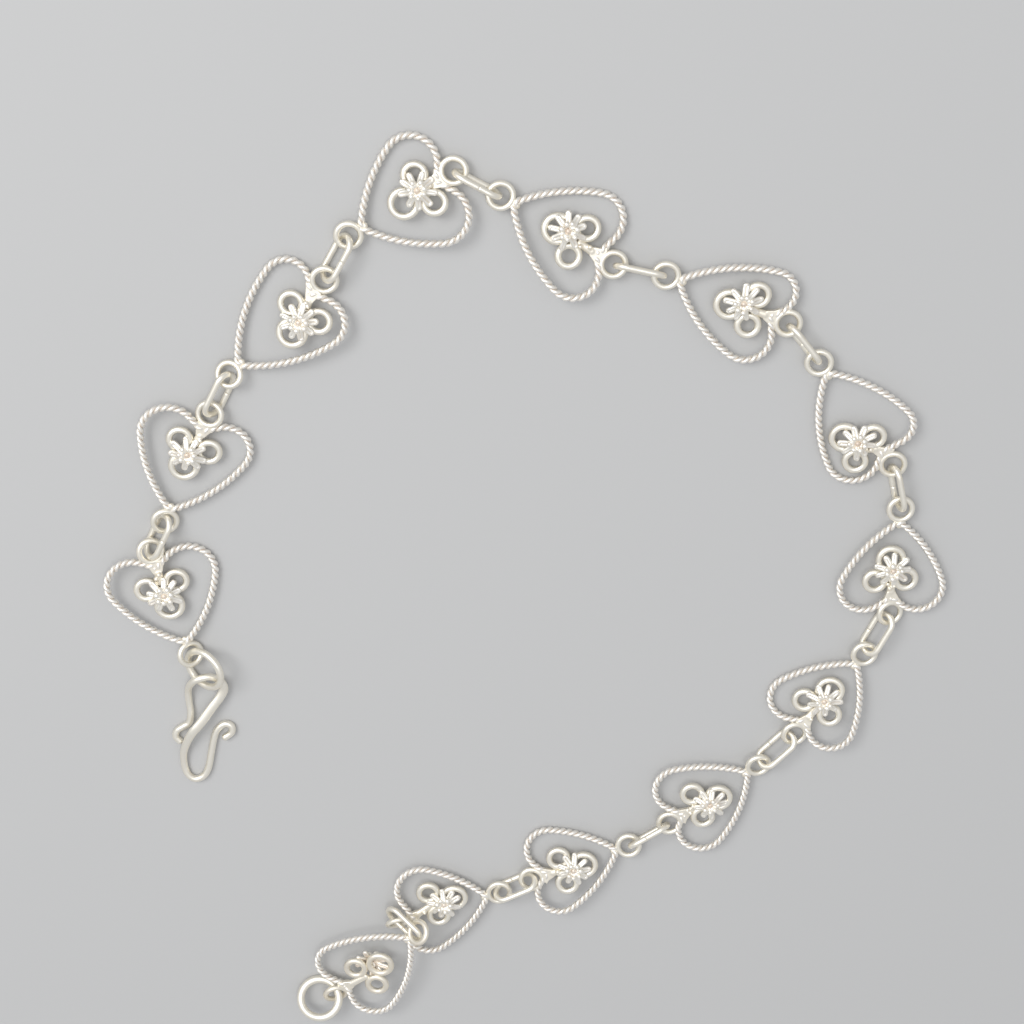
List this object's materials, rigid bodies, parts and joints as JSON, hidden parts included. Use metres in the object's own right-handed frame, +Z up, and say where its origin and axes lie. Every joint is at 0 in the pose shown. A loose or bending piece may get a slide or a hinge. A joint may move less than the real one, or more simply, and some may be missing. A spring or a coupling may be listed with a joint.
{
  "type": "heart link bracelet",
  "caption": "Silver wire bracelet of filigree heart links with flower centres, joined by oval jump links, with an S-shaped hook and an end ring.",
  "frame": {"origin": "centre of the underside of the bracelet's box, on the surface it lies on", "axes": "+Z up from the surface, +Y away from the bracelet's two ends, +X to the right along the open curve"},
  "size_m": [0.068, 0.0796, 0.0033],
  "materials": {
    "silver": "bright silver with a warm tinge"
  },
  "bodies": {
    "root": {"heart_01": "silver", "heart_02": "silver", "heart_03": "silver", "heart_04": "silver", "heart_05": "silver", "heart_06": "silver", "heart_07": "silver", "heart_08": "silver", "heart_09": "silver", "heart_10": "silver", "heart_11": "silver", "heart_12": "silver", "heart_13": "silver", "link_01": "silver", "link_02": "silver", "link_03": "silver", "link_04": "silver", "link_05": "silver", "link_06": "silver", "link_07": "silver", "link_08": "silver", "link_09": "silver", "link_10": "silver", "link_11": "silver", "link_12": "silver", "hook_ring": "silver", "s_hook": "silver", "end_ring": "silver"}
  },
  "joints": []
}
